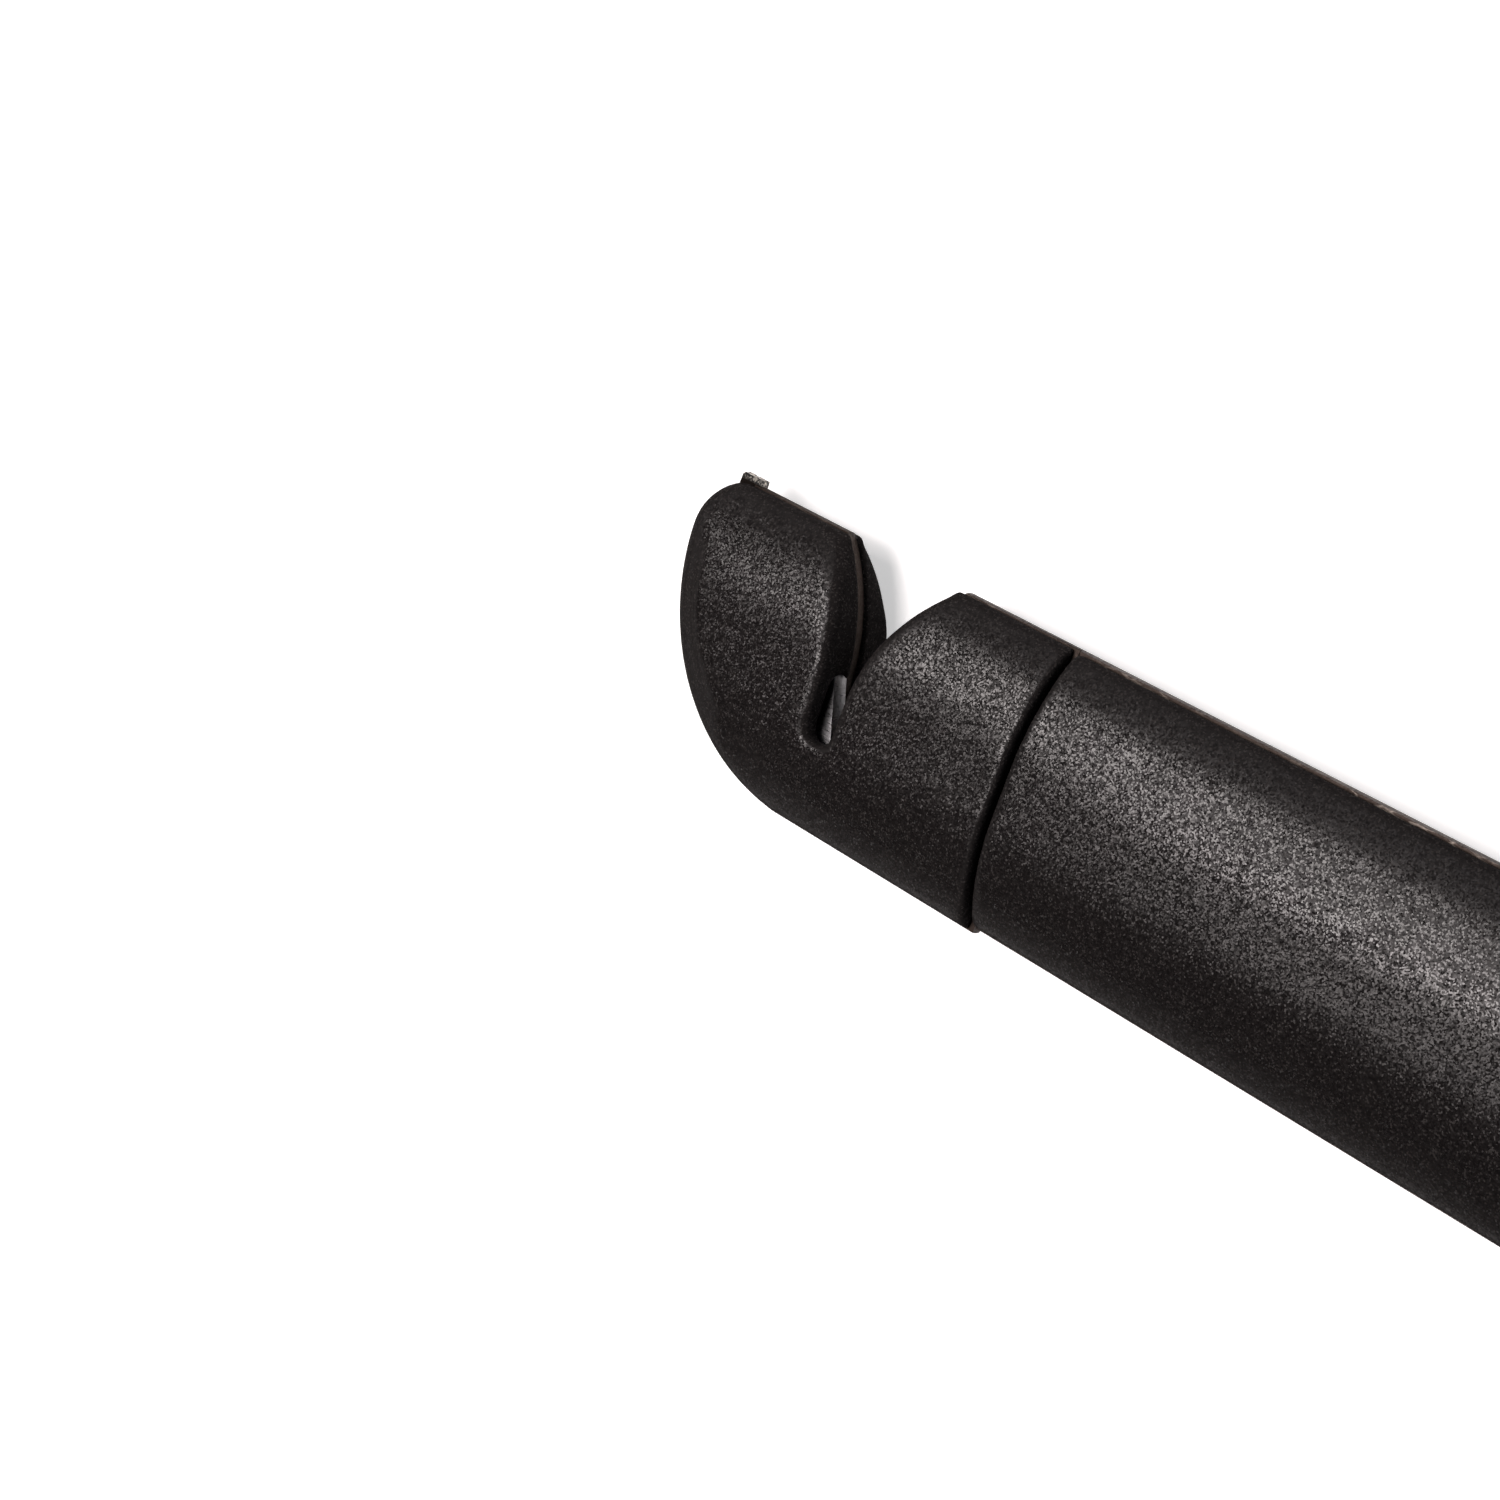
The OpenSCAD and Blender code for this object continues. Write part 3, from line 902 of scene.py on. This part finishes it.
class SHARPENER_OT_hanging_eye(Operator):
    """Turn the rolled eyelet at the butt."""

    bl_idname = "sharpener.hanging_eye"
    bl_label = "Hanging Eye"

    def execute(self, context):
        low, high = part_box("hanging_eye")
        back = tuple((radius, -height) for radius, height in reversed(EYE_OUTLINE))
        eye = turned("hanging_eye_rolled", EYE_OUTLINE + back, EYE_SEGMENTS, True)
        activate(eye)
        bpy.ops.transform.translate(value=(low + high) / 2.0)
        settle()
        bpy.ops.object.shade_smooth_by_angle(angle=TURNED_SHARP)
        fit_piece(eye, "grip", "plated_steel", finishes()["plated_zinc"], "hanging_eye")
        return {"FINISHED"}


class SHARPENER_OT_cad_finishes(Operator):
    """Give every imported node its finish."""

    bl_idname = "sharpener.cad_finishes"
    bl_label = "Packed Node Finishes"

    SLOT_FINISH = {
        "shell_plastic": "grained_black",
        "plate_steel": "browned_steel",
        "hardened_steel": "ground_steel",
        "plated_steel": "plated_zinc",
    }

    def execute(self, context):
        materials = finishes()
        for part in frame["record"]["subparts"]:
            dress(frame["nodes"][part["node"]], materials[self.SLOT_FINISH[part["material_slot"]]])
        return {"FINISHED"}


class SHARPENER_OT_stage(Operator):
    """Lay the white table, set the soft lights and put up the camera."""

    bl_idname = "sharpener.stage"
    bl_label = "Stage"

    def execute(self, context):
        stage = context.scene.sharpener_stage
        self.table()
        self.lights(context.scene, stage)
        self.camera(context.scene, stage)
        context.scene.view_settings.view_transform = "Standard"
        return {"FINISHED"}

    def table(self):
        deselect_all()
        bpy.ops.mesh.primitive_plane_add(size=TABLE_SIZE, location=(0.0, 0.0, -TABLE_BELOW))
        table = bpy.context.object
        table.name = "white_table"
        bpy.ops.object.mode_set(mode="EDIT")
        bpy.ops.mesh.select_mode(type="EDGE")
        bpy.ops.mesh.select_all(action="SELECT")
        bpy.ops.mesh.region_to_loop()
        bpy.ops.mesh.extrude_edges_move(TRANSFORM_OT_translate={"value": (0.0, 0.0, TABLE_RIM)})
        bpy.ops.object.mode_set(mode="OBJECT")
        dress(table, self.table_white())

    def table_white(self):
        material, sheet, place, surface = new_material("white_table")
        path = sheet.add("ShaderNodeLightPath", "seen directly or mirrored").outputs
        away = sheet.vector("LENGTH", "away from the tool", place)
        lift = sheet.mapped(away, LIFT_REACH, LIFT, "more lift far off")
        direct = sheet.math("MULTIPLY", "seen directly", path["Is Camera Ray"], lift)
        mirrored = sheet.math(
            "MAXIMUM", "mirrored or seen through", path["Is Glossy Ray"], path["Is Transmission Ray"]
        )
        pale = sheet.math("MULTIPLY", "pale when mirrored", mirrored, MIRRORED_LIFT)
        looks = {
            "Base Color": TABLE_WHITE,
            "Roughness": TABLE_GLOSS,
            "Specular IOR Level": 0.0,
            "Emission Color": WHITE,
            "Emission Strength": sheet.math("ADD", "white lift", direct, pale),
        }
        sheet.feed(surface, looks)
        return material

    def lights(self, scene, stage):
        scene.world = scene.world or bpy.data.worlds.new("soft_sky")
        scene.world.use_nodes = True
        background = scene.world.node_tree.nodes["Background"]
        background.inputs["Color"].default_value = WHITE
        background.inputs["Strength"].default_value = stage.sky
        for name, (place, target, size, tint) in LIGHTS.items():
            facing = (Vector(target) - Vector(place)).to_track_quat("-Z", "Y").to_euler()
            bpy.ops.object.light_add(type="AREA", location=place, rotation=facing)
            lamp = bpy.context.object
            lamp.name = name + "_light"
            lamp.data.shape = "RECTANGLE"
            lamp.data.size, lamp.data.size_y = size
            lamp.data.energy = getattr(stage, name + "_power")
            lamp.data.color = getattr(stage, tint)
            lamp.visible_camera = False

    def camera(self, scene, stage):
        back = -Vector(stage.camera_forward).normalized()
        right = Vector(stage.camera_up).cross(back).normalized()
        turn = Matrix((right, back.cross(right), back)).transposed().to_4x4()
        bpy.ops.object.camera_add()
        camera = bpy.context.object
        camera.matrix_world = Matrix.Translation(stage.camera_place) @ turn
        camera.data.lens = stage.lens
        camera.data.sensor_width = SENSOR_WIDTH
        camera.data.clip_start = CLIP_START
        scene.camera = camera


class SHARPENER_PT_panel(Panel):
    """Lists the steps that dress the sharpener."""

    bl_label = "Notch Sharpener"
    bl_idname = "SHARPENER_PT_panel"
    bl_space_type = "VIEW_3D"
    bl_region_type = "UI"
    bl_category = "Sharpener"

    def draw(self, context):
        for step in STEPS:
            self.layout.operator(step.bl_idname)


STEPS = (
    SHARPENER_OT_cad_finishes,
    SHARPENER_OT_head_shells,
    SHARPENER_OT_grip_shells,
    SHARPENER_OT_head_frame,
    SHARPENER_OT_steels,
    SHARPENER_OT_screws,
    SHARPENER_OT_hanging_eye,
    SHARPENER_OT_stage,
)
GROUPS = {
    "sharpener_shape": SharpenerShape,
    "sharpener_finish": SharpenerFinish,
    "sharpener_stage": SharpenerStage,
}


def register():
    for group in GROUPS.values():
        bpy.utils.register_class(group)
    for name, group in GROUPS.items():
        setattr(bpy.types.Scene, name, PointerProperty(type=group))
    for step in STEPS:
        bpy.utils.register_class(step)
    bpy.utils.register_class(SHARPENER_PT_panel)


def unregister():
    bpy.utils.unregister_class(SHARPENER_PT_panel)
    for step in reversed(STEPS):
        bpy.utils.unregister_class(step)
    for name in GROUPS:
        delattr(bpy.types.Scene, name)
    for group in GROUPS.values():
        bpy.utils.unregister_class(group)


def main():
    register()
    bpy.ops.sharpener.cad_finishes()
    bpy.ops.sharpener.head_shells()
    bpy.ops.sharpener.grip_shells()
    bpy.ops.sharpener.head_frame()
    bpy.ops.sharpener.steels()
    bpy.ops.sharpener.screws()
    bpy.ops.sharpener.hanging_eye()
    bpy.ops.sharpener.stage()
    deselect_all()


if __name__ == "__main__":
    main()
